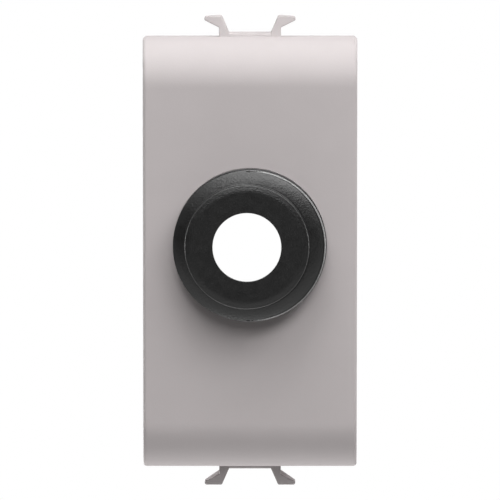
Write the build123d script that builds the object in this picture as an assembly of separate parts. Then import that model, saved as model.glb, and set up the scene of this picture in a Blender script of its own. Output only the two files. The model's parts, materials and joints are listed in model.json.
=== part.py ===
from build123d import *
import os
from math import cos, radians, sin, tan

# One-module cable outlet for a modular wiring support, in millimetres.
# The origin is the middle of the module, in the plane where the claws catch the support.
# X points right as the user sees the front, Y goes back into the wall box and Z points up.

# Front moulding
MODULE_WIDTH = 22.2  # across the front face
RIM_WIDTH = 22.48  # across the rear rim, where the module is widest
MODULE_HEIGHT = 45.0
FRONT_WALL = 2.0
SKIRT_WALL = 1.5
SKIRT_DEPTH = 14.0  # from the front face to the rear rim
END_RADIUS = 5.0  # round at the top and bottom of the front; the claws start where it ends
SIDE_EDGE_RADIUS = 0.4
END_DRAFT = 2.0  # degrees, top and bottom

# Snap claws, one pair at each end, on a low land on the skirt
CLAW_DEPTH = 4.0
CLAW_HEIGHT = 2.09  # over the skirt
CLAW_RAKE = 15.0  # degrees by which the claws lean back from their foot
CLAW_SPREAD = 6.46  # across both necks, and the width of the land
CLAW_ROOT_WIDTH = 1.03  # of each claw where it leaves the land
CLAW_TOP_WIDTH = 1.8  # of each claw at its top, hook included
HOOK_REACH = 1.52  # of the hook past the neck
HOOK_RISE = 0.68  # of the hook's underside from neck to tip
HOOK_TIP = 0.4  # thickness at the tip
HOOK_TIP_RADIUS = 0.15
HOOK_LEAD_IN = 2.2  # length of the ramp at the back of the hook
LAND_HEIGHT = 0.34
LAND_RAMP = 0.6  # depth over which the land rises

# Elastomer cable bush, with heights over the front face
OUTLET_RISE = 1.23  # the cable's axis above the middle of the module
OUTLET_SHIFT = -0.32  # the cable's axis to the right of the middle, so here to its left
BORE_DIAMETER = 7.04
BORE_LAND = 1.2  # straight length of the bore, behind the nose
BORE_FLARE = 1.4  # widening of the bore from the land to the back, per side
NOSE_DIAMETER = 12.8
NOSE_STEP = 1.05  # the nose's face over the collar's crown
NOSE_BEVEL_WIDTH = 0.64
NOSE_BEVEL_HEIGHT = 0.13
COLLAR_LEDGE = 1.52  # of the collar past the nose, per side
COLLAR_HEIGHT = 2.2  # at its rim
COLLAR_CROWN = 0.55  # rise of the domed shoulder from the rim to the nose
COLLAR_CROWN_RADIUS = 6.4
COLLAR_OFFSET = 0.32  # the collar stands to the right of the nose, in the middle of the module
COLLAR_SEATING = 1.52  # of the collar on the front, per side
SEAT_CLEARANCE = 0.1  # round the neck, and behind the front wall
LIP_OVERHANG = 0.8  # of the rear lip past its hole, per side
LIP_LENGTH = 1.0
LIP_TAPER_LENGTH = 3.0
TAIL_WALL = 0.9

# Cord grip behind the front
BAR_WIDTH = 5.2
BAR_THICKNESS = 2.0
BAR_SIDE_GAP = 0.5  # from the bar's ends to the skirt
BAR_RIB_WIDTH = 1.6
BAR_RIB_HEIGHT = 0.9
BAR_RIB_GAP = 0.3  # from the rib's ends to the screw heads
CLAMP_GAP = 2.6  # from the bush's lip down to the bar
CLAMP_RECESS = 0.6  # from the rear rim down to the screw heads
TOOTH_HEIGHT = 0.6
TOOTH_BASE = 1.0
TOOTH_SPACING = 2.4
POST_DIAMETER = 5.0
SADDLE_HEIGHT = 1.2
GUSSET_WALL = 1.2
GUSSET_DROP = 2.0  # from the top of the post
FRONT_RIB_WALL = 1.2
FRONT_RIB_HEIGHT = 2.0
FRONT_RIB_SPACING = 11.0
FRONT_RIB_GAP = 2.4  # from the bush's lip up to the ribs

# Self-tapping clamp screws
SCREW_DIAMETER = 2.4
SCREW_POINT = 1.2
SCREW_POINT_GAP = 1.6  # from the front wall to the screw's point
PILOT_ALLOWANCE = 0.6  # of the hole below the screw's point
SCREW_FIT = 0.05  # round the screw in its post
SCREW_PASSAGE = 0.4  # round the screw in the bar
SCREW_HEAD_DIAMETER = 4.8
SCREW_HEAD_HEIGHT = 1.8
SCREW_HEAD_BEVEL = 0.4
SCREW_CROSS_WIDTH = 0.7
SCREW_CROSS_LENGTH = 2.8
SCREW_CROSS_DEPTH = 1.0

# Depths along Y
front_face = -END_RADIUS
front_inside = front_face + FRONT_WALL
front_core = front_face + FRONT_WALL / 2
rear_rim = front_face + SKIRT_DEPTH
bar_rear = rear_rim - CLAMP_RECESS - SCREW_HEAD_HEIGHT
post_top = bar_rear - BAR_THICKNESS
saddle_top = front_inside + SADDLE_HEIGHT
screw_end = front_inside + SCREW_POINT_GAP

# Radii, heights and offsets
bore_radius = BORE_DIAMETER / 2
nose_radius = NOSE_DIAMETER / 2
collar_radius = nose_radius + COLLAR_LEDGE
seat_radius = collar_radius - COLLAR_SEATING
lip_radius = seat_radius + LIP_OVERHANG
post_radius = POST_DIAMETER / 2
screw_radius = SCREW_DIAMETER / 2
end_room = max(BAR_WIDTH, SCREW_HEAD_DIAMETER) / 2
side_flare = (RIM_WIDTH - MODULE_WIDTH) / 2 / SKIRT_DEPTH
skirt_inside = MODULE_WIDTH / 2 - SKIRT_WALL + (bar_rear - front_face) * side_flare
bar_half_length = skirt_inside - BAR_SIDE_GAP
post_offset = bar_half_length - end_room
clamp_height = OUTLET_RISE - lip_radius - CLAMP_GAP - BAR_WIDTH / 2


def facing_front(depth, x=0.0, z=0.0):
    """Plane across the cable's way, with X right and Z up; its normal points to the front."""
    return Plane((x, depth, z), x_dir=(1, 0, 0), z_dir=(0, -1, 0))


def backward(sketch, length):
    """Extrude a sketch that faces the front towards the wall box."""
    return extrude(sketch, -length)


def round_bar(radius, start, end, x=0.0, z=0.0):
    """Solid cylinder along Y between two depths."""
    return backward(facing_front(start, x, z) * Circle(radius), end - start)


def block(x_range, y_range, z_range):
    """Solid box between the given limits."""
    low, high = (Vector(*corner) for corner in zip(x_range, y_range, z_range))
    size = high - low
    return Pos(*((low + high) * 0.5)) * Box(size.X, size.Y, size.Z)


def cap_form(front, inset, rear):
    """Drafted block with a flat front and quarter-round ends, its walls inset from the outside."""
    radius = END_RADIUS - inset
    half_height = MODULE_HEIGHT / 2 - inset
    round_centre = front + radius
    top_round = CenterArc((round_centre, half_height - radius), radius, 180, -90 - END_DRAFT)
    bottom_round = CenterArc((round_centre, radius - half_height), radius, 180, 90 + END_DRAFT)
    straight = rear - round_centre - radius * sin(radians(END_DRAFT))
    fall = radius * (1 - cos(radians(END_DRAFT))) + straight * tan(radians(END_DRAFT))
    rear_top = (rear, half_height - fall)
    rear_bottom = (rear, fall - half_height)
    side_view = make_face(
        [
            Line(bottom_round @ 0, top_round @ 0),
            top_round,
            Polyline(top_round @ 1, rear_top, rear_bottom, bottom_round @ 1),
            bottom_round,
        ]
    )
    half_width = MODULE_WIDTH / 2 - inset
    rear_half_width = half_width + (rear - front_face) * side_flare
    plan = make_face(
        Polyline(
            (-half_width, front_face),
            (half_width, front_face),
            (rear_half_width, rear),
            (-rear_half_width, rear),
            close=True,
        )
    )
    across = extrude(Plane.YZ * side_view, MODULE_WIDTH, both=True)
    return across & extrude(plan, MODULE_HEIGHT, both=True)


def cap_shell(outside):
    """Front and skirt as one open-backed shell with rounded side edges."""
    by_side = outside.faces().sort_by(Axis.X)
    side_edges = by_side[0].edges() + by_side[-1].edges()
    rounded = [edge for edge in side_edges if edge.center().Y < rear_rim - SKIRT_WALL / 2]
    return fillet(rounded, SIDE_EDGE_RADIUS) - cap_form(front_inside, SKIRT_WALL, rear_rim + SKIRT_WALL)


def claw_pair():
    """Pair of snap claws on their land, at the top of the module."""
    root = -SKIRT_WALL / 2
    neck = CLAW_SPREAD / 2
    tip = neck + HOOK_REACH
    throat_at_land = neck - CLAW_ROOT_WIDTH
    throat_at_top = tip - CLAW_TOP_WIDTH
    hook_end = CLAW_HEIGHT - HOOK_TIP
    claw = make_face(
        Polyline(
            (throat_at_land, root),
            (neck, root),
            (neck, hook_end - HOOK_RISE),
            (tip, hook_end),
            (tip, CLAW_HEIGHT),
            (throat_at_top, CLAW_HEIGHT),
            (throat_at_land, LAND_HEIGHT),
            close=True,
        )
    )
    claw = fillet(claw.vertices().sort_by(Axis.X)[-2:], HOOK_TIP_RADIUS)
    front_view = claw + mirror(claw, Plane.YZ)
    ramp_start = CLAW_DEPTH - HOOK_LEAD_IN
    plan = make_face(
        Polyline(
            (-tip, root),
            (tip, root),
            (tip, ramp_start),
            (neck, CLAW_DEPTH),
            (-neck, CLAW_DEPTH),
            (-tip, ramp_start),
            close=True,
        )
    )
    lean = tan(radians(CLAW_RAKE))
    side_view = make_face(
        Polyline(
            (root * lean, root),
            (CLAW_HEIGHT * lean, CLAW_HEIGHT),
            (CLAW_DEPTH, CLAW_HEIGHT),
            (CLAW_DEPTH, root),
            close=True,
        )
    )
    land = make_face(
        Polyline(
            (0, root),
            (0, 0),
            (LAND_RAMP, LAND_HEIGHT),
            (CLAW_DEPTH, LAND_HEIGHT),
            (CLAW_DEPTH, root),
            close=True,
        )
    )
    pair = backward(facing_front(root) * front_view, CLAW_DEPTH - root)
    pair &= extrude(plan, CLAW_HEIGHT, both=True)
    pair &= extrude(Plane.YZ * side_view, tip, both=True)
    pair += extrude(Plane.YZ * land, neck, both=True)
    return Pos(0, 0, MODULE_HEIGHT / 2) * pair


def gripping_teeth(root, crest):
    """Two ridges across the cable between the posts, from a root depth to a crest depth."""
    teeth = []
    for side in (-1, 1):
        middle = clamp_height + side * TOOTH_SPACING / 2
        section = make_face(
            Polyline(
                (root, middle - TOOTH_BASE / 2),
                (root, middle + TOOTH_BASE / 2),
                (crest, middle),
                close=True,
            )
        )
        teeth.append(extrude(Plane.YZ * section, post_offset - post_radius, both=True))
    return teeth


def grip_base():
    """Saddle, screw posts and gussets on the inside of the front."""
    saddle_z = (clamp_height - BAR_WIDTH / 2, clamp_height + BAR_WIDTH / 2)
    features = [block((-post_offset, post_offset), (front_core, saddle_top), saddle_z)]
    features += gripping_teeth(saddle_top, saddle_top + TOOTH_HEIGHT)
    gusset_y = (front_core, post_top - GUSSET_DROP)
    gusset_z = (clamp_height - GUSSET_WALL / 2, clamp_height + GUSSET_WALL / 2)
    for side in (-1, 1):
        features.append(round_bar(post_radius, front_core, post_top, side * post_offset, clamp_height))
        gusset_x = sorted((side * post_offset, side * (skirt_inside + SKIRT_WALL / 2)))
        features.append(block(gusset_x, gusset_y, gusset_z))
    return features


def front_ribs():
    """Two stiffening ribs inside the front, from above the bush to the top of the skirt."""
    rib_y = (front_core, front_inside + FRONT_RIB_HEIGHT)
    rib_z = (OUTLET_RISE + lip_radius + FRONT_RIB_GAP, MODULE_HEIGHT / 2)
    ribs = []
    for side in (-1, 1):
        middle = side * FRONT_RIB_SPACING / 2
        ribs.append(block((middle - FRONT_RIB_WALL / 2, middle + FRONT_RIB_WALL / 2), rib_y, rib_z))
    return ribs


def module_body():
    """The front moulding with its claws, cable seat and cord-grip base."""
    outside = cap_form(front_face, 0, rear_rim)
    body = cap_shell(outside)
    inner_limit = cap_form(front_core, SKIRT_WALL / 2, rear_rim)
    for feature in grip_base() + front_ribs():
        body += feature & inner_limit
    top_claws = claw_pair()
    body += top_claws
    body += mirror(top_claws, Plane.XY)
    body -= round_bar(seat_radius, front_face - FRONT_WALL, saddle_top, OUTLET_SHIFT, OUTLET_RISE)
    for side in (-1, 1):
        x = side * post_offset
        body -= round_bar(screw_radius + SCREW_FIT, screw_end - PILOT_ALLOWANCE, post_top, x, clamp_height)
    return body


def cable_bush():
    """Two-tier bush: nose and domed collar before the front, grooved neck and rear lip behind it."""
    crown = -COLLAR_HEIGHT - COLLAR_CROWN
    nose_face = crown - NOSE_STEP
    bevel_start = nose_face + NOSE_BEVEL_HEIGHT
    lip_front = FRONT_WALL + SEAT_CLEARANCE
    lip_rear = lip_front + LIP_LENGTH
    tail = lip_rear + LIP_TAPER_LENGTH
    neck_radius = seat_radius - SEAT_CLEARANCE
    flare_radius = bore_radius + BORE_FLARE
    land_end = nose_face + BORE_LAND
    collar_root = (bore_radius + BORE_FLARE / 2 + neck_radius) / 2
    core = make_face(
        Polyline(
            (bore_radius, nose_face),
            (nose_radius - NOSE_BEVEL_WIDTH, nose_face),
            (nose_radius, bevel_start),
            (nose_radius, -COLLAR_HEIGHT),
            (neck_radius, -COLLAR_HEIGHT),
            (neck_radius, lip_front),
            (lip_radius, lip_front),
            (lip_radius, lip_rear),
            (flare_radius + TAIL_WALL, tail),
            (flare_radius, tail),
            (bore_radius, land_end),
            close=True,
        )
    )
    rim = (collar_radius, -COLLAR_HEIGHT)
    crown_edge = (nose_radius, crown)
    collar = make_face(
        [
            Polyline(crown_edge, (collar_root, crown), (collar_root, 0), (collar_radius, 0), rim),
            RadiusArc(rim, crown_edge, COLLAR_CROWN_RADIUS),
        ]
    )
    bush = revolve(core, Axis.Y) + Pos(COLLAR_OFFSET, 0, 0) * revolve(collar, Axis.Y)
    return Pos(OUTLET_SHIFT, front_face, OUTLET_RISE) * bush


def clamp_bar():
    """Cord-grip bar: rounded ends on the posts, a rib behind and teeth towards the cable."""
    plan = SlotOverall(2 * bar_half_length, BAR_WIDTH)
    for side in (-1, 1):
        plan -= Pos(side * post_offset, 0) * Circle(screw_radius + SCREW_PASSAGE)
    bar = backward(facing_front(post_top, z=clamp_height) * plan, BAR_THICKNESS)
    rib_length = 2 * (post_offset - SCREW_HEAD_DIAMETER / 2 - BAR_RIB_GAP)
    rib_plan = facing_front(bar_rear, z=clamp_height) * SlotOverall(rib_length, BAR_RIB_WIDTH)
    bar += backward(rib_plan, BAR_RIB_HEIGHT)
    for tooth in gripping_teeth(post_top, post_top - TOOTH_HEIGHT):
        bar += tooth
    return bar


def clamp_screw(x):
    """Self-tapping screw with a pan head and a cross recess, seated on the bar."""
    head_top = bar_rear + SCREW_HEAD_HEIGHT
    head = round_bar(SCREW_HEAD_DIAMETER / 2, bar_rear, head_top)
    head = chamfer(head.faces().sort_by(Axis.Y)[-1].edges(), SCREW_HEAD_BEVEL)
    shank = make_face(
        Polyline(
            (0, screw_end),
            (screw_radius, screw_end + SCREW_POINT),
            (screw_radius, bar_rear),
            (0, bar_rear),
            close=True,
        )
    )
    slot = Rectangle(SCREW_CROSS_LENGTH, SCREW_CROSS_WIDTH)
    recess = facing_front(head_top - SCREW_CROSS_DEPTH) * (slot + Rot(0, 0, 90) * slot)
    screw = head + revolve(shank, Axis.Y) - backward(recess, SCREW_CROSS_DEPTH)
    return Pos(x, 0, clamp_height) * screw


def main():
    """Build each piece and write it to its own file."""
    pieces = {
        "module_body": module_body(),
        "cable_bush": cable_bush(),
        "clamp_bar": clamp_bar(),
        "clamp_screws": Compound([clamp_screw(side * post_offset).solid() for side in (-1, 1)]),
    }
    os.makedirs("parts", exist_ok=True)
    for name, piece in pieces.items():
        export_step(piece, f"parts/{name}.step")


if __name__ == "__main__":
    main()
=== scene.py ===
"""Looks of a one-module cable outlet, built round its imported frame.

The moulded front, the cable bush, the clamp bar and its screws are surfaces worked out with numpy
from the frame's own boxes and a few fields.
Lengths are in metres: X points right, Y goes back into the wall box and Z points up.
"""
import json
import logging
from dataclasses import dataclass, field
from enum import Enum

import bmesh
import bpy
import numpy as np
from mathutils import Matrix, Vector


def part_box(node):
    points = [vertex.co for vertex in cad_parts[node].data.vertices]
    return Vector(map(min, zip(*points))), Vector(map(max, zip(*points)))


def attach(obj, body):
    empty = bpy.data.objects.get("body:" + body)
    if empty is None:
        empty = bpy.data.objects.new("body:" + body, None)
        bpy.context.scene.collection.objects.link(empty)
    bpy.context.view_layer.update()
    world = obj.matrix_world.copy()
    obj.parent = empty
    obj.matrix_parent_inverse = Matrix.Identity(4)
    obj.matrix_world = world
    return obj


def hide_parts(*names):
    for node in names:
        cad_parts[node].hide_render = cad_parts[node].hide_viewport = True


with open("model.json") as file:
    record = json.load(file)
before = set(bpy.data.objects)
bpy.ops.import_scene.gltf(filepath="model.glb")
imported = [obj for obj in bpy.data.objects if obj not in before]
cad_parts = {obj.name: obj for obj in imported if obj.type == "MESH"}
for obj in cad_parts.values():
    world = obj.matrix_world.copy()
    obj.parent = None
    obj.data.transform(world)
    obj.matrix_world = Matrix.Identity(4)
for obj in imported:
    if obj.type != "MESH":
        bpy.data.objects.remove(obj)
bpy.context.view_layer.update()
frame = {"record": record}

Array = np.ndarray
Colour = tuple[float, float, float]
Link = tuple[bpy.types.Node, str, bpy.types.Node, str]

MM = 0.001
DEGREE = np.pi / 180
QUARTER_TURN = np.pi / 2
BODY = "root"
FRONT_WALL = 2.0 * MM
MERGE_DISTANCE = 0.0005 * MM
BEVEL_SEGMENTS = 3
# Point layer that says where a highlight is painted into the colour of a piece.
HIGHLIGHT_LAYER = "painted_edge_highlight"
GRAIN_DETAIL = 3.0
PATCH_DETAIL = 4.0
PATCH_RANGE = (0.3, 0.7)
WHITE = (1.0, 1.0, 1.0, 1.0)

log = logging.getLogger("cable_outlet")


class Slot(Enum):
    """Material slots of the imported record."""

    BODY_PLASTIC = "body_plastic"
    BUSH_RUBBER = "bush_rubber"
    CLAMP_PLASTIC = "clamp_plastic"
    SCREW_STEEL = "screw_steel"


class Side(Enum):
    """Left and right of the module, as the user sees the front."""

    LEFT = -1
    RIGHT = 1


class End(Enum):
    """Bottom and top of the module."""

    BOTTOM = -1
    TOP = 1


def rounded_outline(corners: Array, radii: Array, steps: int, support: float) -> Array:
    """Round the corners of a closed outline.

    With a and b the unit directions from a corner to its neighbours and w the angle between them, the
    arc's centre lies on the bisector at radius / sin(w/2), and the arc meets the sides at
    radius / tan(w/2). Its points blend the two end radii by the sines of the angles left and done.
    One more point on each side, a little past the arc, keeps the shading of flat walls flat.

    Args:
        corners: N corners in a plane, N by 2.
        radii: One radius for each corner.
        steps: Straight steps along each arc.
        support: Distance of the extra points from the arc's ends.

    Returns:
        The rounded outline, N * (steps + 3) points by 2.
    """
    to_last = np.roll(corners, 1, axis=0) - corners
    to_next = np.roll(corners, -1, axis=0) - corners
    to_last /= np.linalg.norm(to_last, axis=1, keepdims=True)
    to_next /= np.linalg.norm(to_next, axis=1, keepdims=True)
    opening = np.arccos(np.clip((to_last * to_next).sum(axis=1), -1, 1))
    sweep = np.pi - opening
    bisector = to_last + to_next
    bisector /= np.linalg.norm(bisector, axis=1, keepdims=True)
    centre = corners + bisector * (radii / np.sin(opening / 2))[:, None]
    reach = (radii / np.tan(opening / 2))[:, None]
    start = corners + to_last * reach
    end = corners + to_next * reach
    done = np.linspace(0, 1, steps + 1)
    start_weight = np.sin(np.outer(sweep, 1 - done)) / np.sin(sweep)[:, None]
    end_weight = np.sin(np.outer(sweep, done)) / np.sin(sweep)[:, None]
    arc = centre[:, None] + start_weight[..., None] * (start - centre)[:, None]
    arc = arc + end_weight[..., None] * (end - centre)[:, None]
    before = (start + to_last * support)[:, None]
    after = (end + to_next * support)[:, None]
    return np.concatenate([before, arc, after], axis=1).reshape(-1, 2)


def border(grid: Array, rows: slice = slice(None), columns: slice = slice(None)) -> Array:
    """Walk once round a rectangular part of a grid of points or indices.

    Args:
        grid: Rows by columns, with any further axes.
        rows: Rows of the part.
        columns: Columns of the part.

    Returns:
        The part's border as one closed loop, its first entry not repeated.
    """
    part = grid[rows, columns]
    return np.concatenate([part[0, :-1], part[:-1, -1], part[-1, :0:-1], part[:0:-1, 0]])


def between(start: Array, end: Array, shares: Array) -> Array:
    """Straight blends of two arrays, one for each share of the way from start to end."""
    shares = shares.reshape(-1, *[1] * start.ndim)
    return start + (end - start) * shares


def onto_circle(points: Array, centre: Array, radius: float) -> Array:
    """Points moved straight to or from a centre until they lie on the circle about it."""
    away = points - centre
    return centre + away * radius / np.linalg.norm(away, axis=1, keepdims=True)


def quarter_round(radius: float, steps: int) -> tuple[Array, Array]:
    """Quarter circle that leaves a wall: how far its points have sunk below it and gone along it."""
    turn = np.linspace(0, QUARTER_TURN, steps + 1)
    return radius * (1 - np.cos(turn)), radius * np.sin(turn)


def upright(x: Array, z: Array, depth: float) -> Array:
    """Points across Y at one depth, from arrays of X and Z of any shape."""
    return np.stack([x, np.full_like(x, depth), z], axis=-1)


def circles(steps: list[tuple[float, float]], turns: Array, x: float, z: float) -> Array:
    """Stack of circles about one axis along Y.

    Args:
        steps: Radius and depth of each circle.
        turns: Angles of the points, from X towards Z.
        x: X of the axis.
        z: Z of the axis.

    Returns:
        Points, steps by angles by 3.
    """
    rings = [upright(x + radius * np.cos(turns), z + radius * np.sin(turns), y) for radius, y in steps]
    return np.stack(rings)


def full_turn(count: int) -> Array:
    """Equal angles once round, without the last, which is the first again."""
    return np.linspace(0, 2 * np.pi, count, endpoint=False)


def bearing(azimuth: float, elevation: float) -> Vector:
    """Unit direction from the module: azimuth from front to right, elevation from the horizon."""
    flat = np.cos(elevation)
    return Vector((np.sin(azimuth) * flat, -np.cos(azimuth) * flat, np.sin(elevation)))


def add_object(name: str, data: bpy.types.ID) -> bpy.types.Object:
    """Put new data in the scene.

    Args:
        name: Name of the object.
        data: Its mesh, light or camera.

    Returns:
        The object, at the origin.
    """
    made = bpy.data.objects.new(name, data)
    bpy.context.scene.collection.objects.link(made)
    return made


@dataclass
class MeshDraft:
    """Points and faces of one piece, gathered patch by patch."""

    points: list[Array] = field(default_factory=list)
    faces: list[Array] = field(default_factory=list)
    count: int = 0

    def place(self, points: Array) -> Array:
        """Add points.

        Args:
            points: Any array whose last axis holds X, Y and Z.

        Returns:
            The points' indices, in the array's own shape.
        """
        flat = points.reshape(-1, 3)
        index = self.count + np.arange(len(flat)).reshape(points.shape[:-1])
        self.points.append(flat)
        self.count += len(flat)
        return index

    def span(self, index: Array, around: bool = False, keep: Array | None = None) -> None:
        """Join neighbours of an index grid by quads.

        Args:
            index: Rows by columns.
            around: Whether the last column joins the first again.
            keep: Mask of the quads to make, all if left out.
        """
        if around:
            index = np.concatenate([index, index[:, :1]], axis=1)
        quads = np.stack([index[:-1, :-1], index[:-1, 1:], index[1:, 1:], index[1:, :-1]], axis=-1)
        self.faces.append(quads.reshape(-1, 4) if keep is None else quads[keep])

    def stack(self, loops: Array) -> None:
        """Close a body from a stack of loops: quads between them and a face over each end.

        Args:
            loops: Loops by points by 3.
        """
        index = self.place(loops)
        self.span(index, around=True)
        self.faces += [index[:1], index[-1:]]

    def slab(self, section: Array, start: float, stop: float) -> None:
        """Carry a section of depths and heights along X.

        Args:
            section: Depth and height of each corner.
            start: X of the first end.
            stop: X of the other end.
        """
        x = np.repeat(np.array([start, stop])[:, None], len(section), axis=1)
        yz = np.broadcast_to(section, (2, *section.shape))
        self.stack(np.concatenate([x[..., None], yz], axis=-1))

    def mesh(self, name: str) -> bpy.types.Mesh:
        """Gather all patches in one mesh.

        Args:
            name: Name of the mesh.

        Returns:
            The mesh, its points in the order in which they were placed.
        """
        mesh = bpy.data.meshes.new(name)
        faces = [face for patch in self.faces for face in patch.tolist()]
        mesh.from_pydata(np.concatenate(self.points).tolist(), [], faces)
        return mesh

    def piece(self, name: str, slot: Slot, painted_highlight: Array | None = None) -> bpy.types.Object:
        """Make the draft a piece that rides on the module.

        Args:
            name: Name of the piece.
            slot: Material slot of the record; not used.
            painted_highlight: How strongly a highlight is painted into the colour at each point, from 0
                to 1, or nothing where none is painted.

        Returns:
            The piece, its doubles merged and its faces turned outwards.
        """
        mesh = self.mesh(name)
        if painted_highlight is not None:
            # This layer marks the edges that get a painted highlight in their colour.
            mesh.attributes.new(HIGHLIGHT_LAYER, "FLOAT", "POINT").data.foreach_set("value", painted_highlight.ravel())
        work = bmesh.new()
        work.from_mesh(mesh)
        bmesh.ops.remove_doubles(work, verts=work.verts, dist=MERGE_DISTANCE)
        bmesh.ops.recalc_face_normals(work, faces=work.faces)
        work.to_mesh(mesh)
        work.free()
        mesh.shade_smooth()
        made = add_object(name, mesh)
        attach(made, BODY)
        return made


def soften_edges(piece: bpy.types.Object, width: float, least_angle: float) -> None:
    """Round a piece's sharp edges, with the flat walls beside them shaded flat.

    Args:
        piece: The piece.
        width: Width of the rounding, from the edge.
        least_angle: Smallest angle between faces that counts as an edge.
    """
    bevel = piece.modifiers.new("soft_edges", "BEVEL")
    bevel.width = width
    bevel.segments = BEVEL_SEGMENTS
    bevel.limit_method = "ANGLE"
    bevel.angle_limit = least_angle
    bevel.use_clamp_overlap = False
    weighted = piece.modifiers.new("flat_walls", "WEIGHTED_NORMAL")
    weighted.keep_sharp = True


def link_by_name(tree: bpy.types.NodeTree, *links: Link) -> None:
    """Join sockets by name: each entry is a node, its output, another node and its input."""
    for source, output, target, entry in links:
        tree.links.new(source.outputs[output], target.inputs[entry])


def calculation(
    tree: bpy.types.NodeTree,
    operation: str,
    *entries: bpy.types.NodeSocket | float,
    kind: str = "Math",
) -> bpy.types.NodeSocket:
    """Add a node that works something out.

    Args:
        tree: Nodes of a material, world or group.
        operation: What the node does.
        entries: For each input in order, an output to read or a plain number.
        kind: Math for values, VectorMath for vectors and colours.

    Returns:
        The node's output.
    """
    node = tree.nodes.new("ShaderNode" + kind)
    node.operation = operation
    for socket, entry in zip(node.inputs, entries):
        if isinstance(entry, (int, float)):
            socket.default_value = entry
        else:
            tree.links.new(entry, socket)
    return node.outputs[0]


def seen_directly(tree: bpy.types.NodeTree) -> bpy.types.NodeSocket:
    """Mask for what the camera sees, also by way of gloss and glass.

    Args:
        tree: Nodes of a material or world.

    Returns:
        Output that is 1 on camera, glossy and transmission rays and 0 on all others.
    """
    ray = tree.nodes.new("ShaderNodeLightPath").outputs
    camera_or_gloss = calculation(tree, "MAXIMUM", ray["Is Camera Ray"], ray["Is Glossy Ray"])
    return calculation(tree, "MAXIMUM", camera_or_gloss, ray["Is Transmission Ray"])


def surface_grain() -> bpy.types.NodeTree:
    """Shared effect: the fine grain, faint unevenness and painted edge highlights of a moulded or
    plated surface.

    A fine noise gives the height of the grain, a broad one the unevenness. The colour is the given one
    times 1 plus or minus the mottle, and the roughness the given one plus or minus its spread. Marked
    edges gain the highlight colour times their painted highlight share and the fine noise: a painted
    highlight on rims.

    Returns:
        The node group, built at its first use.
    """
    name = "surface_grain"
    if name in bpy.data.node_groups:
        return bpy.data.node_groups[name]
    group = bpy.data.node_groups.new(name, "ShaderNodeTree")
    kinds = {"Coordinates": "Vector", "Colour": "Color", "Highlight Colour": "Color"}
    values = ("Mottle", "Roughness", "Spread", "Grain Scale", "Patch Scale", "Painted Highlight")
    sockets = {"INPUT": (*kinds, *values), "OUTPUT": ("Colour", "Roughness", "Height")}
    for direction, titles in sockets.items():
        for title in titles:
            kind = "NodeSocket" + kinds.get(title, "Float")
            group.interface.new_socket(title, in_out=direction, socket_type=kind)
    entry = group.nodes.new("NodeGroupInput")
    result = group.nodes.new("NodeGroupOutput")
    grain = group.nodes.new("ShaderNodeTexNoise")
    grain.inputs["Detail"].default_value = GRAIN_DETAIL
    patches = group.nodes.new("ShaderNodeTexNoise")
    patches.inputs["Detail"].default_value = PATCH_DETAIL
    uneven = group.nodes.new("ShaderNodeMapRange")
    uneven.inputs["From Min"].default_value = PATCH_RANGE[0]
    uneven.inputs["From Max"].default_value = PATCH_RANGE[1]
    uneven.inputs["To Min"].default_value = -1.0
    link_by_name(
        group,
        (entry, "Coordinates", grain, "Vector"),
        (entry, "Coordinates", patches, "Vector"),
        (entry, "Grain Scale", grain, "Scale"),
        (entry, "Patch Scale", patches, "Scale"),
        (patches, "Fac", uneven, "Value"),
        (grain, "Fac", result, "Height"),
    )
    given, shift = entry.outputs, uneven.outputs["Result"]
    tone = calculation(group, "MULTIPLY_ADD", shift, given["Mottle"], 1.0)
    tinted = calculation(group, "MULTIPLY", given["Colour"], tone, kind="VectorMath")
    highlight_mask = calculation(group, "MULTIPLY", given["Painted Highlight"], grain.outputs["Fac"])
    # Painted highlight: a pale grey added to the colour on marked edges, broken up by the grain.
    highlighted = calculation(group, "MULTIPLY_ADD", highlight_mask, given["Highlight Colour"], tinted, kind="VectorMath")
    gloss = calculation(group, "MULTIPLY_ADD", shift, given["Spread"], given["Roughness"])
    group.links.new(highlighted, result.inputs["Colour"])
    group.links.new(gloss, result.inputs["Roughness"])
    return group


@dataclass(frozen=True)
class Finish:
    """A finish: one colour, with the shared grain in its own size and depth."""

    name: str
    colour: Colour
    mottle: float
    roughness: float
    spread: float
    specular: float
    grain: float
    grain_depth: float
    patch: float
    metallic: float = 0.0
    # Colour of the highlight painted on marked edges; black paints none.
    highlight_colour: Colour = (0.0, 0.0, 0.0)

    def material(self) -> bpy.types.Material:
        """Build the finish as a material.

        Returns:
            The material, with colour, roughness and bump from its nodes.
        """
        made = bpy.data.materials.new(self.name)
        made.use_nodes = True
        tree = made.node_tree
        shader = tree.nodes["Principled BSDF"]
        shader.inputs["Metallic"].default_value = self.metallic
        shader.inputs["Specular IOR Level"].default_value = self.specular
        place = tree.nodes.new("ShaderNodeTexCoord")
        grain = tree.nodes.new("ShaderNodeGroup")
        grain.node_tree = surface_grain()
        settings = {
            "Colour": (*self.colour, 1.0),
            "Highlight Colour": (*self.highlight_colour, 1.0),
            "Mottle": self.mottle,
            "Roughness": self.roughness,
            "Spread": self.spread,
            "Grain Scale": 1 / self.grain,
            "Patch Scale": 1 / self.patch,
        }
        for title, value in settings.items():
            grain.inputs[title].default_value = value
        painted_highlight = tree.nodes.new("ShaderNodeAttribute")
        painted_highlight.attribute_name = HIGHLIGHT_LAYER
        bump = tree.nodes.new("ShaderNodeBump")
        bump.inputs["Distance"].default_value = self.grain_depth
        link_by_name(
            tree,
            (place, "Object", grain, "Coordinates"),
            (painted_highlight, "Fac", grain, "Painted Highlight"),
            (grain, "Colour", shader, "Base Color"),
            (grain, "Roughness", shader, "Roughness"),
            (grain, "Height", bump, "Height"),
            (bump, "Normal", shader, "Normal"),
        )
        return made

    def dress(self, piece: bpy.types.Object) -> None:
        """Give a piece this finish as its only material."""
        piece.data.materials.clear()
        piece.data.materials.append(self.material())


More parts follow.
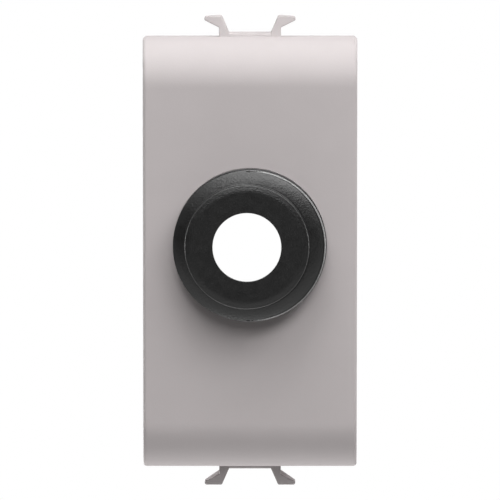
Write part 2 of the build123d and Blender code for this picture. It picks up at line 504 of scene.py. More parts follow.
FRONT_PLASTIC = Finish(
    name="warm_grey_plastic",
    colour=(0.430, 0.398, 0.399),
    mottle=0.012,
    roughness=0.66,
    spread=0.03,
    specular=0.10,
    grain=0.16 * MM,
    grain_depth=0.006 * MM,
    patch=4.0 * MM,
)
BUSH_ELASTOMER = Finish(
    name="black_elastomer",
    colour=(0.0025, 0.0025, 0.0025),
    mottle=0.10,
    roughness=0.36,
    spread=0.03,
    specular=0.50,
    grain=0.20 * MM,
    grain_depth=0.030 * MM,
    patch=0.8 * MM,
    # Pale grey painted on the rims and the nose edge as their highlight line.
    highlight_colour=(0.35, 0.35, 0.35),
)
CLAMP_PLASTIC = Finish(
    name="dark_clamp_plastic",
    colour=(0.030, 0.030, 0.031),
    mottle=0.06,
    roughness=0.50,
    spread=0.05,
    specular=0.35,
    grain=0.20 * MM,
    grain_depth=0.010 * MM,
    patch=2.0 * MM,
)
ZINC_PLATE = Finish(
    name="zinc_plated_steel",
    colour=(0.48, 0.48, 0.49),
    mottle=0.05,
    roughness=0.40,
    spread=0.08,
    specular=0.5,
    grain=0.12 * MM,
    grain_depth=0.004 * MM,
    patch=0.7 * MM,
    metallic=1.0,
)
FLOOR_PAPER = Finish(
    name="floor_paper",
    colour=(0.82, 0.82, 0.82),
    mottle=0.01,
    roughness=0.85,
    spread=0.02,
    specular=0.2,
    grain=2.0 * MM,
    grain_depth=0.05 * MM,
    patch=120 * MM,
)
SCREEN_FELT = Finish(
    name="screen_felt",
    colour=(0.03, 0.03, 0.03),
    mottle=0.05,
    roughness=0.9,
    spread=0.05,
    specular=0.1,
    grain=1.0 * MM,
    grain_depth=0.1 * MM,
    patch=30 * MM,
)


@dataclass(frozen=True)
class Corner:
    """Corner of a turned section: radius, depth, rounding in mm, X of its circle, and the highlight
    painted on its rounding.
    """

    radius: float
    depth: float
    rounding: float
    axis: float
    painted_highlight: float = 0.0


@dataclass
class CableBush:
    """Two-tier elastomer bush: nose and domed collar before the front, neck and rear lip behind it."""

    nose_face: float
    tail: float
    outlet: float
    axis: float
    collar_axis: float
    collar_radius: float
    bore_radius: float
    bore_land: float
    front: float
    collar_height: float = 2.2 * MM
    collar_foot: float = 1.5 * MM
    foot_ledge: float = 0.06 * MM
    collar_undercut: float = 0.10 * MM
    collar_crown: float = 0.55 * MM
    dome_bulge: float = 0.113 * MM
    collar_ledge: float = 1.52 * MM
    collar_seating: float = 1.52 * MM
    nose_bevel_width: float = 0.64 * MM
    nose_bevel_height: float = 0.13 * MM
    seat_clearance: float = 0.1 * MM
    lip_overhang: float = 0.8 * MM
    lip_length: float = 1.0 * MM
    bore_flare: float = 1.4 * MM
    bore_relief: float = 0.16 * MM
    tail_wall: float = 0.9 * MM
    edge_steps: int = 6
    edge_support: float = 0.03 * MM
    facets: int = 192

    @classmethod
    def from_frame(cls, front: float) -> "CableBush":
        """Take the bush's place and main sizes from the frame.

        Args:
            front: Depth of the module's front face.

        Returns:
            The bush.
        """
        low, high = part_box("cable_bush")
        bore = next(mount for mount in frame["record"]["mounts"] if mount["name"] == "cable_bore")
        return cls(
            nose_face=low.y,
            tail=high.y,
            outlet=(low.z + high.z) / 2,
            axis=bore["pos_m"][0],
            collar_axis=(low.x + high.x) / 2,
            collar_radius=(high.z - low.z) / 2,
            bore_radius=bore["dims"]["r_mm"] * MM,
            bore_land=bore["dims"]["length_mm"] * MM,
            front=front,
        )

    @property
    def seat_radius(self) -> float:
        """Radius of the hole in the front."""
        return self.collar_radius - self.collar_seating

    @property
    def lip_radius(self) -> float:
        """Radius of the rear lip."""
        return self.seat_radius + self.lip_overhang

    def corners(self) -> list[Corner]:
        """Half section of the bush, from the mouth of the bore over the collar to the tail and back.

        Returns:
            The corners in order.
        """
        nose = self.collar_radius - self.collar_ledge
        neck = self.seat_radius - self.seat_clearance
        rim = self.front - self.collar_height
        crown = rim - self.collar_crown
        lip_front = self.front + FRONT_WALL + self.seat_clearance
        flare = self.bore_radius + self.bore_flare
        foot = self.front - self.collar_foot
        rim_radius = self.collar_radius - self.foot_ledge
        dome_out = self.dome_bulge * self.collar_crown / self.collar_ledge
        shoulder = ((nose + rim_radius) / 2 + dome_out, (crown + rim) / 2 - self.dome_bulge)
        core, collar = self.axis, self.collar_axis
        return [
            Corner(self.bore_radius, self.nose_face, 0.06, core),
            Corner(nose - self.nose_bevel_width, self.nose_face, 2.00, core),
            # The nose edge and the collar's rim have a highlight painted into their colour.
            Corner(nose, self.nose_face + self.nose_bevel_height, 0.10, core, painted_highlight=0.06),
            Corner(nose, crown, 0.08, core),
            Corner(*shoulder, 4.5, (core + collar) / 2),
            Corner(rim_radius, rim, 0.28, collar, painted_highlight=1.0),
            Corner(rim_radius - self.collar_undercut, foot, 0.04, collar),
            Corner(self.collar_radius, foot, 0.05, collar),
            Corner(self.collar_radius, self.front, 0.06, collar),
            Corner(neck, self.front, 0.06, core),
            Corner(neck, lip_front, 0.06, core),
            Corner(self.lip_radius, lip_front, 0.10, core),
            Corner(self.lip_radius, lip_front + self.lip_length, 0.25, core),
            Corner(flare + self.tail_wall, self.tail, 0.20, core),
            Corner(flare, self.tail, 0.15, core),
            Corner(self.bore_radius + self.bore_relief, self.nose_face + self.bore_land, 0.80, core),
        ]

    def build(self) -> bpy.types.Object:
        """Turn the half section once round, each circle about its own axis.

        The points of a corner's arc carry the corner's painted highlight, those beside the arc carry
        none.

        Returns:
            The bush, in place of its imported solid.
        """
        corners = self.corners()
        sharp = np.array([(corner.radius, corner.depth) for corner in corners])
        roundings = np.array([corner.rounding for corner in corners]) * MM
        section = rounded_outline(sharp, roundings, self.edge_steps, self.edge_support)
        each = len(section) // len(corners)
        axis = np.repeat([corner.axis for corner in corners], each)
        # Share of the painted highlight at each point of the section.
        painted_highlight = np.outer([corner.painted_highlight for corner in corners], np.ones(each))
        painted_highlight[:, [0, -1]] = 0.0
        turns = full_turn(self.facets)
        x = axis[:, None] + section[:, :1] * np.cos(turns)
        z = self.outlet + section[:, :1] * np.sin(turns)
        y = np.broadcast_to(section[:, 1:], x.shape)
        draft = MeshDraft()
        index = draft.place(np.stack([x, y, z], axis=-1))
        draft.span(np.concatenate([index, index[:1]]), around=True)
        bush = draft.piece("outlet_bush", Slot.BUSH_RUBBER, np.repeat(painted_highlight.ravel(), self.facets))
        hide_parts("cable_bush")
        BUSH_ELASTOMER.dress(bush)
        return bush


@dataclass
class CordGrip:
    """Clamp bar and its two screws, on the posts behind the front."""

    height: float
    post_top: float
    bar_rear: float
    rib_top: float
    bar_width: float
    post_offset: float
    screw_end: float
    head_top: float
    head_radius: float
    shank_radius: float = 1.2 * MM
    point_length: float = 1.2 * MM
    head_round: float = 0.4 * MM
    cross_width: float = 0.7 * MM
    cross_length: float = 2.8 * MM
    cross_depth: float = 1.0 * MM
    cross_slope: float = 0.14 * MM
    bar_softness: float = 0.15 * MM
    bar_thickness: float = 2.0 * MM
    hole_radius: float = 1.6 * MM
    rib_width: float = 1.6 * MM
    rib_gap: float = 0.3 * MM
    root_depth: float = 0.5 * MM
    post_radius: float = 2.5 * MM
    tooth_height: float = 0.6 * MM
    tooth_base: float = 1.0 * MM
    tooth_spacing: float = 2.4 * MM
    head_cells: int = 72
    head_steps: int = 5
    end_steps: int = 32
    side_steps: int = 10
    plate_rings: int = 3
    bar_sharp_edge: float = 35 * DEGREE
    screw_sharp_edge: float = 40 * DEGREE

    @classmethod
    def from_frame(cls) -> "CordGrip":
        """Take the grip's place and sizes from the frame.

        Returns:
            The cord grip.
        """
        bar_low, bar_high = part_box("clamp_bar")
        screw_low, screw_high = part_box("clamp_screws")
        post_top = bar_low.y + cls.tooth_height
        head_radius = (screw_high.z - screw_low.z) / 2
        return cls(
            height=(bar_low.z + bar_high.z) / 2,
            post_top=post_top,
            bar_rear=post_top + cls.bar_thickness,
            rib_top=bar_high.y,
            bar_width=bar_high.z - bar_low.z,
            post_offset=screw_high.x - head_radius,
            screw_end=screw_low.y,
            head_top=screw_high.y,
            head_radius=head_radius,
        )

    def head_grid(self) -> Array:
        """Top of a screw head: a square grid drawn into a disc, with a cross sunk in it.

        Every point of the grid keeps its bearing. It also keeps its distance inside a circle that holds
        the cross, and past it the way to the square's edge shrinks to the way to the disc's edge. The
        cross is two bars, its depth grows with the distance inside their edges up to the full depth.

        Returns:
            Points about the screw's axis, cells + 1 by cells + 1 by 3.
        """
        radius = self.head_radius - self.head_round
        line = np.linspace(-radius, radius, self.head_cells + 1)
        u, v = np.meshgrid(line, line, indexing="ij")
        kept = np.hypot(self.cross_length, self.cross_width) / 2
        # A least distance spares the grid's middle point a division by zero.
        away = np.maximum(np.hypot(u, v), MERGE_DISTANCE)
        square = radius * away / np.maximum(np.maximum(np.abs(u), np.abs(v)), MERGE_DISTANCE)
        drawn = kept + (away - kept) * (radius - kept) / (square - kept)
        scale = np.where(away > kept, drawn, away) / away
        x, z = u * scale, v * scale
        half_length, half_width = self.cross_length / 2, self.cross_width / 2
        level = np.minimum(half_length - np.abs(x), half_width - np.abs(z))
        standing = np.minimum(half_length - np.abs(z), half_width - np.abs(x))
        inside = np.clip(np.maximum(level, standing) / self.cross_slope, 0, 1)
        return np.stack([x, self.head_top - self.cross_depth * inside, z], axis=-1)

    def screw(self, draft: MeshDraft, side: Side) -> None:
        """Screw with a pan head, a cross recess and a pointed shank: a grid, then a stack of circles.

        Args:
            draft: Draft of the piece.
            side: Side of the module that the screw is on.
        """
        centre = np.array([side.value * self.post_offset, 0.0, self.height])
        top = self.head_grid()
        grid = draft.place(top + centre)
        draft.span(grid)
        edge = border(top)
        turns = np.arctan2(edge[:, 2], edge[:, 0])
        sunk, gone = quarter_round(self.head_round, self.head_steps)
        rounded = list(zip(self.head_radius - self.head_round + gone, self.head_top - sunk))
        steps = [
            *rounded[1:],
            (self.head_radius, self.bar_rear),
            (self.shank_radius, self.bar_rear),
            (self.shank_radius, self.screw_end + self.point_length),
            (0.0, self.screw_end),
        ]
        turned = draft.place(circles(steps, turns, centre[0], centre[2]))
        draft.span(np.concatenate([border(grid)[None], turned]), around=True)

    def build_screws(self) -> bpy.types.Object:
        """Build both screws as one piece.

        Returns:
            The screws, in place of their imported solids.
        """
        draft = MeshDraft()
        for side in Side:
            self.screw(draft, side)
        screws = draft.piece("grip_screws", Slot.SCREW_STEEL)
        screws.data.set_sharp_from_angle(angle=self.screw_sharp_edge)
        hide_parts("clamp_screws")
        ZINC_PLATE.dress(screws)
        return screws

    def teeth(self, root: float, crest: float) -> Array:
        """Sections of the two gripping teeth across the cable.

        Args:
            root: Depth of the teeth's feet.
            crest: Depth of their edges.

        Returns:
            Depth and height of foot, edge and foot, 2 by 3 by 2.
        """
        middles = self.height + self.tooth_spacing / 2 * np.array([[-1], [1]])
        height = middles + self.tooth_base / 2 * np.array([-1, 0, 1])
        depth = np.broadcast_to([root, crest, root], height.shape)
        return np.stack([depth, height], axis=-1)

    def round_end(self, offset: float, radius: float) -> Array:
        """Half circle about a point on the bar's line, from its lower side round to its upper side.

        Args:
            offset: X of the point.
            radius: Radius of the end.

        Returns:
            X, and height over the bar's line, of each point.
        """
        turn = np.linspace(-QUARTER_TURN, QUARTER_TURN, self.end_steps + 1)
        return np.stack([offset + radius * np.cos(turn), radius * np.sin(turn)], axis=1)

    def plate_half(self, draft: MeshDraft, side: Side) -> None:
        """Half of the bar's plate with its screw hole.

        On both faces, rings blend the outline into the circle of the hole. Walls join the two faces
        round the hole and along the outline, except across the middle, where the other half goes on.

        Args:
            draft: Draft of the piece.
            side: Side of the module that the half is on.
        """
        half = self.bar_width / 2
        end = self.round_end(self.post_offset, half)
        along = np.linspace(1, 0, self.side_steps + 1)
        upper = np.stack([self.post_offset * along, np.full_like(along, half)], axis=1)
        middle = np.stack([np.zeros_like(along), half * (2 * along - 1)], axis=1)
        lower = upper[::-1] * [1, -1]
        outline = np.concatenate([part[:-1] for part in (end, upper, middle, lower)])
        hole = onto_circle(outline, np.array([self.post_offset, 0.0]), self.hole_radius)
        rings = between(outline, hole, np.linspace(0, 1, self.plate_rings + 1))
        x, z = side.value * rings[..., 0], self.height + rings[..., 1]
        faces = [draft.place(upright(x, z, depth)) for depth in (self.post_top, self.bar_rear)]
        for face in faces:
            draft.span(face, around=True)
        outer = np.ones((1, len(outline)), dtype=bool)
        first = len(end) + len(upper) - 2
        outer[:, first : first + self.side_steps] = False
        draft.span(np.stack([face[0] for face in faces]), around=True, keep=outer)
        draft.span(np.stack([face[-1] for face in faces]), around=True)

    def build_bar(self) -> bpy.types.Object:
        """Clamp bar: plate with round ends and two holes, a rib behind it and teeth towards the cable.

        The rib is its outline carried back, and a tooth its section carried across. Both are rooted in
        the plate.

        Returns:
            The bar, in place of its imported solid.
        """
        draft = MeshDraft()
        for side in Side:
            self.plate_half(draft, side)
        rib_half = self.post_offset - self.head_radius - self.rib_gap
        rib_end = self.round_end(rib_half - self.rib_width / 2, self.rib_width / 2)
        x, z = np.concatenate([rib_end, -rib_end]).T
        depths = (self.bar_rear - self.root_depth, self.rib_top)
        draft.stack(np.stack([upright(x, self.height + z, depth) for depth in depths]))
        tooth_half = self.post_offset - self.post_radius
        for tooth in self.teeth(self.post_top, self.post_top - self.tooth_height):
            root = tooth[[2, 0]] + [self.root_depth, 0.0]
            draft.slab(np.concatenate([tooth, root]), -tooth_half, tooth_half)
        bar = draft.piece("grip_bar", Slot.CLAMP_PLASTIC)
        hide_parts("clamp_bar")
        soften_edges(bar, self.bar_softness, self.bar_sharp_edge)
        CLAMP_PLASTIC.dress(bar)
        return bar


@dataclass
class ModuleFront:
    """The moulded front: flat face, round ends, drafted skirt, snap claws and the cord grip's base."""

    front: float
    rim: float
    widest: float
    claw_top: float
    bush: CableBush
    grip: CordGrip
    skirt_wall: float = 1.5 * MM
    front_half: float = 11.08 * MM
    claw_half: float = 11.17 * MM
    end_draft: float = 2.0 * DEGREE
    edge_radius: float = 0.35 * MM
    inner_edge_radius: float = 0.25 * MM
    rim_round: float = 0.2 * MM
    window: float = 8.0 * MM
    support: float = 0.2 * MM
    claw_depth: float = 4.0 * MM
    claw_height: float = 2.09 * MM
    claw_rake: float = 11 * DEGREE
    claw_spread: float = 6.46 * MM
    claw_root_width: float = 1.03 * MM
    claw_top_width: float = 1.8 * MM
    hook_reach: float = 1.52 * MM
    hook_rise: float = 0.76 * MM
    hook_tip: float = 0.4 * MM
    hook_lead_in: float = 2.2 * MM
    land_height: float = 0.34 * MM
    land_ramp: float = 0.17 * MM
    land_setback: float = 0.05 * MM
    pilot_radius: float = 1.25 * MM
    pilot_depth: float = 6.6 * MM
    saddle_height: float = 1.2 * MM
    gusset_wall: float = 1.2 * MM
    gusset_drop: float = 2.0 * MM
    rib_wall: float = 1.2 * MM
    rib_height: float = 2.0 * MM
    rib_spacing: float = 11.0 * MM
    rib_gap: float = 2.4 * MM
    edge_softness: float = 0.1 * MM
    sharp_edge: float = 50 * DEGREE
    window_cells: int = 24
    window_rings: int = 4
    rows_below: int = 7
    rows_above: int = 5
    skirt_rows: int = 5
    side_columns: tuple[float, ...] = (0.05, 0.35, 0.7, 1.0)
    arc_steps: int = 24
    edge_steps: int = 6
    rim_steps: int = 4
    claw_steps: int = 4
    claw_support: float = 0.01 * MM
    post_facets: int = 64
    rib_steps: int = 8

    @classmethod
    def from_frame(cls) -> "ModuleFront":
        """Take the front's place and main sizes from the frame, with the bush and the grip it carries.

        Returns:
            The front.
        """
        low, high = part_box("module_body")
        return cls(
            front=low.y,
            rim=high.y,
            widest=high.x,
            claw_top=high.z,
            bush=CableBush.from_frame(low.y),
            grip=CordGrip.from_frame(),
        )

    @property
    def half_height(self) -> float:
        """From the middle of the module to the top of the front."""
        return self.claw_top - self.claw_height

    @property
    def end_radius(self) -> float:
        """Radius of the round ends: they reach back to the plane of the claws."""
        return -self.front

    @property
    def flat_half(self) -> float:
        """Half the height of the flat face between the round ends."""
        return self.half_height - self.end_radius

    @property
    def hook_under(self) -> float:
        """Height over the skirt where the hook's underside leaves the neck."""
        return self.claw_height - self.hook_tip - self.hook_rise

    @property
    def front_core(self) -> float:
        """Depth of the middle of the front wall, where inner features are rooted."""
        return self.front + FRONT_WALL / 2

    def half_width(self, depth: Array, inset: float) -> Array:
        """Half width at each depth: straight from the face to the claws, and from there to the rim."""
        widths = (self.front_half, self.claw_half, self.widest)
        return np.interp(depth, (self.front, 0.0, self.rim), widths) - inset

    def outline(self, front: float, inset: float) -> tuple[Array, Array]:
        """Side outline from the lower rim over the front to the upper rim.

        The upper half is an arc whose normal turns from the front to the top and on by the draft,
        then a straight skirt along the arc's last tangent. The lower half is its mirror image, and
        straight rows join the two across the flat face, some of them at the bush's window.

        Args:
            front: Depth of the face.
            inset: Distance of the skirt inside the outer one.

        Returns:
            Depth and height of each point, and the outward normal there.
        """
        radius = self.end_radius - inset
        turn = np.linspace(0, QUARTER_TURN + self.end_draft, self.arc_steps + 1)
        arc_normal = np.stack([-np.cos(turn), np.sin(turn)], axis=1)
        arc = np.array([front + radius, self.flat_half]) + radius * arc_normal
        along = np.array([np.sin(turn[-1]), np.cos(turn[-1])])
        length = (self.rim - self.rim_round - arc[-1, 0]) / along[0]
        steps = np.concatenate([[self.support], np.linspace(0, length, self.skirt_rows + 1)[1:]])
        skirt = arc[-1] + steps[:, None] * along
        upper = np.concatenate([arc, skirt])
        upper_normal = np.concatenate([arc_normal, np.repeat(arc_normal[-1:], len(skirt), axis=0)])
        low, high = self.bush.outlet - self.window, self.bush.outlet + self.window
        edge = self.flat_half - self.support
        rows = np.concatenate(
            [
                np.linspace(-edge, low, self.rows_below + 1),
                np.linspace(low, high, self.window_cells + 1)[1:],
                np.linspace(high, edge, self.rows_above + 1)[1:],
            ]
        )
        face = np.stack([np.full_like(rows, front), rows], axis=1)
        face_normal = np.broadcast_to([-1.0, 0.0], face.shape)
        mirrored = np.array([1.0, -1.0])
        path = np.concatenate([upper[::-1] * mirrored, face, upper])
        normal = np.concatenate([upper_normal[::-1] * mirrored, face_normal, upper_normal])
        return path, normal

    def skin(self, front: float, inset: float, edge_radius: float) -> Array:
        """One wall surface over two parameters: along the side outline, and across from rim to rim.

        Across, the middle keeps the outline at fixed X. Each edge is a quarter circle that sinks by
        radius * (1 - cos) and stands radius * (1 - sin) inside the drafted side. The side is ruled from
        there to the rim, where heights share out like lengths along the outline.

        Args:
            front: Depth of the face.
            inset: Distance of the skirt inside the outer one.
            edge_radius: Radius of the side edges.

        Returns:
            Points, along by across by 3.
        """
        path, normal = self.outline(front, inset)
        sunk, gone = quarter_round(edge_radius, self.edge_steps)
        edge = path[:, None] - normal[:, None] * sunk[None, :, None]
        edge_x = self.half_width(edge[..., 0], inset) - edge_radius + gone
        last = edge[:, -1]
        run = np.concatenate([[0.0], np.cumsum(np.linalg.norm(np.diff(last, axis=0), axis=1))])
        rim_height = last[0, 1] + (last[-1, 1] - last[0, 1]) * run / run[-1]
        to_rim = np.stack([np.full_like(run, last[0, 0]), rim_height], axis=1) - last
        side = last[:, None] + to_rim[:, None] * np.reshape(self.side_columns, (1, -1, 1))
        side_x = self.half_width(side[..., 0], inset)
        inner_x = edge_x[:, :1] - self.support
        right_x = np.concatenate([inner_x, edge_x, side_x], axis=1)
        right = np.concatenate([path[:, None], edge, side], axis=1)
        middle_x = np.linspace(-self.window, self.window, self.window_cells + 1)
        middle_x = np.broadcast_to(middle_x, (len(path), len(middle_x)))
        middle = np.broadcast_to(path[:, None], (*middle_x.shape, 2))
        x = np.concatenate([-right_x[:, ::-1], middle_x, right_x], axis=1)
        depth_height = np.concatenate([right[:, ::-1], middle, right], axis=1)
        return np.concatenate([x[..., None], depth_height], axis=-1)

    def place_skin(self, draft: MeshDraft, skin: Array) -> tuple[Array, Array]:
        """Add a wall surface with the bush's round hole in its face.

        The square window round the hole is filled by rings that blend its border into the circle.

        Args:
            draft: Draft of the piece.
            skin: Points of the surface.

        Returns:
            Indices of the hole's edge and of the surface's outer border.
        """
        index = draft.place(skin)
        height = skin[:, skin.shape[1] // 2, 2]
        height = np.where(np.abs(height) <= self.flat_half, height, np.inf)
        row = int(np.argmin(np.abs(height - self.bush.outlet + self.window)))
        column = (skin.shape[1] - self.window_cells) // 2
        last_row, last_column = row + self.window_cells, column + self.window_cells
        keep = np.ones((skin.shape[0] - 1, skin.shape[1] - 1), dtype=bool)
        keep[row:last_row, column:last_column] = False
        draft.span(index, keep=keep)
        rows, columns = slice(row, last_row + 1), slice(column, last_column + 1)
        square = border(skin, rows, columns)
        centre = np.array([self.bush.axis, square[0, 1], self.bush.outlet])
        circle = onto_circle(square, centre, self.bush.seat_radius)
        rings = draft.place(between(square, circle, np.linspace(0, 1, self.window_rings + 1)[1:]))
        draft.span(np.concatenate([border(index, rows, columns)[None], rings]), around=True)
        return rings[-1], border(index)

    def shell(self, draft: MeshDraft) -> None:
        """Front and skirt as one closed wall: two skins, the seat of the bush and a rounded rim.

        Across the rim, two quarter circles rise from the skins: share of the wall (1 - cos) and rise
        sin, each times the rounding.

        Args:
            draft: Draft of the piece.
        """
        outer = self.skin(self.front, 0.0, self.edge_radius)
        inner = self.skin(self.front + FRONT_WALL, self.skirt_wall, self.inner_edge_radius)
        outer_hole, outer_border = self.place_skin(draft, outer)
        inner_hole, inner_border = self.place_skin(draft, inner)
        draft.span(np.stack([outer_hole, inner_hole]), around=True)
        sunk, rise = quarter_round(self.rim_round, self.rim_steps)
        share = sunk / self.skirt_wall
        shares = np.concatenate([share[1:], 1 - share[:0:-1]])
        rises = np.concatenate([rise[1:], rise[:0:-1]])
        loops = between(border(outer), border(inner), shares)
        loops[..., 1] += rises[:, None]
        rounded = draft.place(loops)
        draft.span(np.concatenate([outer_border[None], rounded, inner_border[None]]), around=True)

    def claw_view(self) -> Array:
        """Front view of the right claw over the skirt, with its hook to the right.

        Returns:
            Rounded outline: distance from the middle and height over the skirt of each point.
        """
        neck = self.claw_spread / 2
        throat = neck - self.claw_root_width
        tip = neck + self.hook_reach
        root = -self.skirt_wall / 2
        # Each corner is followed by its rounding in mm.
        corners = [
            ((throat, root), 0.15),
            ((neck, root), 0.15),
            ((neck, self.hook_under), 0.15),
            ((tip, self.hook_under + self.hook_rise), 0.17),
            ((tip, self.claw_height), 0.22),
            ((tip - self.claw_top_width, self.claw_height), 0.15),
            ((throat, self.land_height), 0.10),
        ]
        points = np.array([corner for corner, _ in corners])
        radii = np.array([radius for _, radius in corners]) * MM
        return rounded_outline(points, radii, self.claw_steps, self.claw_support)

    def claws(self, draft: MeshDraft, end: End) -> None:
        """Pair of snap claws on their land.

        A claw is its front view carried back, and its front face leans back in step with the height.
        At the back the hook has tapered away to the line of the neck, on which its heights keep their
        share of the way from the sloping underside to the top.

        Args:
            draft: Draft of the piece.
            end: End of the module that carries the pair.
        """
        neck = self.claw_spread / 2
        slope = self.hook_rise / self.hook_reach
        x, above = self.claw_view().T
        past = np.maximum(x - neck, 0.0)
        under = self.hook_under + slope * past
        share = np.clip((above - under) / (self.claw_height - under), 0, 1)
        tapered = self.hook_under + share * (self.claw_height - self.hook_under)
        back_above = np.where(past > 0, tapered, above)
        across = np.stack([x, x, x - past])
        depth = np.stack(
            [
                above * np.tan(self.claw_rake),
                np.full_like(x, self.claw_depth - self.hook_lead_in),
                np.full_like(x, self.claw_depth),
            ]
        )
        height = end.value * (self.half_height + np.stack([above, above, back_above]))
        for side in Side:
            draft.stack(np.stack([side.value * across, depth, height], axis=-1))
        land_back = self.claw_depth - self.land_setback
        land_depth = np.array([0.0, 0.0, self.land_ramp, land_back, land_back])
        root = -self.skirt_wall / 2
        land_above = np.array([root, 0.0, self.land_height, self.land_height, root])
        land = np.stack([land_depth, end.value * (self.half_height + land_above)], axis=1)
        land_half = neck - self.claw_root_width / 2
        draft.slab(land, -land_half, land_half)

    def grip_base(self, draft: MeshDraft) -> None:
        """Saddle with two gripping teeth, screw posts with pilot holes, and their gussets.

        Args:
            draft: Draft of the piece.
        """
        grip = self.grip
        saddle = self.front + FRONT_WALL + self.saddle_height
        teeth = grip.teeth(saddle, saddle + grip.tooth_height).reshape(-1, 2)
        low, high = grip.height - grip.bar_width / 2, grip.height + grip.bar_width / 2
        start = [(self.front_core, low), (saddle, low)]
        stop = [(saddle, high), (self.front_core, high)]
        draft.slab(np.concatenate([start, teeth, stop]), -grip.post_offset, grip.post_offset)
        turns = full_turn(self.post_facets)
        gusset_depth = np.array([self.front_core, grip.post_top - self.gusset_drop])[[0, 1, 1, 0]]
        gusset_height = grip.height + self.gusset_wall / 2 * np.array([-1, -1, 1, 1])
        wall = self.half_width(np.array(grip.bar_rear), self.skirt_wall / 2)
        for side in Side:
            x = side.value * grip.post_offset
            steps = [
                (grip.post_radius, self.front_core),
                (grip.post_radius, grip.post_top),
                (self.pilot_radius, grip.post_top),
                (self.pilot_radius, grip.post_top - self.pilot_depth),
            ]
            draft.stack(circles(steps, turns, x, grip.height))
            draft.slab(np.stack([gusset_depth, gusset_height], axis=1), x, side.value * wall)

    def ribs(self, draft: MeshDraft) -> None:
        """Two stiffening ribs inside the front, whose tops follow the middle of the wall's round end.

        Args:
            draft: Draft of the piece.
        """
        radius = self.end_radius - self.skirt_wall / 2
        centre = self.front_core + radius
        back = self.front + FRONT_WALL + self.rib_height
        turn = np.linspace(np.arccos((back - centre) / radius), np.pi, self.rib_steps + 1)
        low = self.bush.outlet + self.bush.lip_radius + self.rib_gap
        depth = np.concatenate([[self.front_core, back], centre + radius * np.cos(turn)])
        height = np.concatenate([[low, low], self.flat_half + radius * np.sin(turn)])
        for side in Side:
            middle = side.value * self.rib_spacing / 2
            section = np.stack([depth, height], axis=1)
            draft.slab(section, middle - self.rib_wall / 2, middle + self.rib_wall / 2)

    def build(self) -> bpy.types.Object:
        """Build the moulding and dress it.

        Returns:
            The moulding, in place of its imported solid.
        """
        draft = MeshDraft()
        self.shell(draft)
        for end in End:
            self.claws(draft, end)
        self.grip_base(draft)
        self.ribs(draft)
        moulding = draft.piece("front_moulding", Slot.BODY_PLASTIC)
        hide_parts("module_body")
        soften_edges(moulding, self.edge_softness, self.sharp_edge)
        FRONT_PLASTIC.dress(moulding)
        return moulding


@dataclass(frozen=True)
class SoftLamp:
    """A rectangular softbox on a bearing round the module, turned to it.

    The azimuth turns from the front to the right, and the elevation rises from the horizon, both in
    degrees.
    """

    name: str
    azimuth: float
    elevation: float
    watts: float
    distance: float = 0.45
    width: float = 0.195
    height: float = 0.195

    def build(self, aim: Vector) -> bpy.types.Object:
        """Add the lamp.

        Args:
            aim: Point that it faces.

        Returns:
            The lamp.
        """
        data = bpy.data.lights.new(self.name, "AREA")
        data.shape = "RECTANGLE"
        data.size = self.width
        data.size_y = self.height
        data.energy = self.watts
        lamp = add_object(self.name, data)
        away = bearing(self.azimuth * DEGREE, self.elevation * DEGREE)
        lamp.location = aim + away * self.distance
        lamp.rotation_euler = away.to_track_quat("Z", "Y").to_euler()
        lamp.visible_camera = False
        return lamp


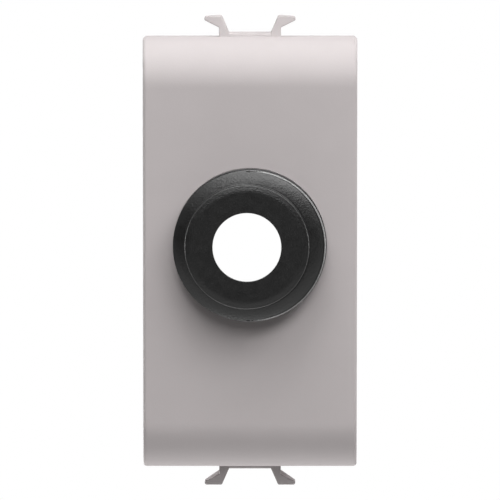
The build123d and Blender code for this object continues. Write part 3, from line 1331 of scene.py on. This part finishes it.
@dataclass
class Studio:
    """Pale floor, white surroundings and soft lamps.

    The floor's paper shows brighter than its light alone would make it, by the glow, so that it runs
    into the white surroundings and still takes the object's shadow.
    """

    aim: Vector
    floor_drop: float = 0.80
    floor_size: float = 2.4
    floor_glow: float = 0.8
    screen_distance: float = 1.7
    screen_sides: tuple[float, float] = (-70 * DEGREE, 55 * DEGREE)
    screen_heights: tuple[float, float] = (-0.40, 0.75)
    ambient: float = 0.113
    floor_cells: int = 8
    screen_cells: int = 24
    lamps: tuple[SoftLamp, ...] = (
        SoftLamp("key_right", 35, 45, 0.845),
        SoftLamp("side_right", 65, 45, 0.556),
        SoftLamp("key_left", -35, 60, 0.690),
        SoftLamp("front_top", 0, 33, 0.67),
        SoftLamp("overhead", 0, 67, 0.46),
        SoftLamp("zenith", 0, 80, 0.684),
        SoftLamp("from_below", 0, -98, 1.807, distance=0.40, width=0.40, height=0.40),
        SoftLamp("edge_right", 125, 0, 1.4, distance=0.50, width=0.30, height=0.20),
        SoftLamp("edge_left", -125, 0, 1.6, distance=0.50, width=0.30, height=0.20),
        SoftLamp("rear", -155, -5, 1.5, distance=0.60, width=0.40, height=0.25),
    )

    def sheet(self, name: str, grid: Array) -> bpy.types.Object:
        """Put a sheet on the stage.

        Args:
            name: Name of the sheet.
            grid: Points of the sheet, rows by columns by 3.

        Returns:
            The sheet.
        """
        draft = MeshDraft()
        draft.span(draft.place(grid).T)
        sheet = add_object(name, draft.mesh(name))
        return sheet

    def floor(self) -> bpy.types.Object:
        """Lay the floor: a square with faintly uneven, matt paper.

        Returns:
            The floor.
        """
        half = self.floor_size / 2
        line = np.linspace(-half, half, self.floor_cells + 1)
        x, y = np.meshgrid(line, line, indexing="ij")
        grid = np.stack([x, y, np.full_like(x, -self.floor_drop)], axis=-1)
        floor = self.sheet("floor", grid)
        FLOOR_PAPER.dress(floor)
        tree = floor.data.materials[0].node_tree
        shader = tree.nodes["Principled BSDF"]
        shader.inputs["Emission Color"].default_value = WHITE
        glow = calculation(tree, "MULTIPLY", seen_directly(tree), self.floor_glow)
        tree.links.new(glow, shader.inputs["Emission Strength"])
        return floor

    def dark_screen(self) -> bpy.types.Object:
        """Stand a dark screen far before the object, so that black parts stay black.

        It is seen in gloss alone. It is part of a cylinder about the upright axis: azimuth one way and
        height the other.

        Returns:
            The screen.
        """
        sides = np.linspace(*self.screen_sides, self.screen_cells + 1)
        azimuth, height = np.meshgrid(sides, self.screen_heights, indexing="ij")
        x, y = self.screen_distance * np.sin(azimuth), -self.screen_distance * np.cos(azimuth)
        screen = self.sheet("dark_screen", np.stack([x, y, height], axis=-1))
        SCREEN_FELT.dress(screen)
        screen.visible_camera = False
        screen.visible_diffuse = False
        screen.visible_shadow = False
        screen.visible_transmission = False
        return screen

    def surroundings(self) -> bpy.types.World:
        """White world to the camera, gloss and glass, and plain grey light to everything else.

        Returns:
            The world.
        """
        world = bpy.data.worlds.new("studio")
        world.use_nodes = True
        bpy.context.scene.world = world
        tree = world.node_tree
        tree.nodes.clear()
        mix = tree.nodes.new("ShaderNodeMixShader")
        result = tree.nodes.new("ShaderNodeOutputWorld")
        tree.links.new(seen_directly(tree), mix.inputs["Fac"])
        for socket, strength in zip(mix.inputs[1:], (self.ambient, 1.0)):
            light = tree.nodes.new("ShaderNodeBackground")
            light.inputs["Color"].default_value = WHITE
            light.inputs["Strength"].default_value = strength
            tree.links.new(light.outputs["Background"], socket)
        tree.links.new(mix.outputs["Shader"], result.inputs["Surface"])
        return world

    def build(self) -> None:
        """Set up the floor, the surroundings and the lamps."""
        self.floor()
        self.dark_screen()
        self.surroundings()
        for lamp in self.lamps:
            lamp.build(self.aim)
        bpy.context.scene.view_settings.view_transform = "Standard"


@dataclass
class PhotoCamera:
    """Camera at the photograph's viewing angle: a long lens, a little above the front."""

    target: Vector
    elevation: float = 5.04 * DEGREE
    distance: float = 525 * MM
    lens: float = 365.25
    aim_up: float = 0.63 * MM
    nearest: float = 52.5 * MM
    furthest: float = 10.5

    def build(self) -> bpy.types.Object:
        """Place the camera on its bearing and turn it to the aim a little above the target.

        Returns:
            The scene's camera.
        """
        back = bearing(0.0, self.elevation)
        up = back.cross(Vector((1.0, 0.0, 0.0)))
        aim = self.target + up * self.aim_up
        data = bpy.data.cameras.new("photo_camera")
        data.lens = self.lens
        data.clip_start = self.nearest
        data.clip_end = self.furthest
        camera = add_object("photo_camera", data)
        camera.location = aim + back * self.distance
        camera.rotation_euler = (-back).to_track_quat("-Z", "Y").to_euler()
        bpy.context.scene.camera = camera
        return camera


def main() -> None:
    """Build the pieces in order, then the studio and the camera."""
    logging.basicConfig(level=logging.INFO)
    front = ModuleFront.from_frame()
    bush, grip = front.bush, front.grip
    for piece in (front.build(), bush.build(), grip.build_bar(), grip.build_screws()):
        log.info("%s: %d faces", piece.name, len(piece.data.polygons))
    middle = Vector((0.0, front.front, 0.0))
    Studio(aim=middle).build()
    PhotoCamera(target=middle).build()


if __name__ == "__main__":
    main()
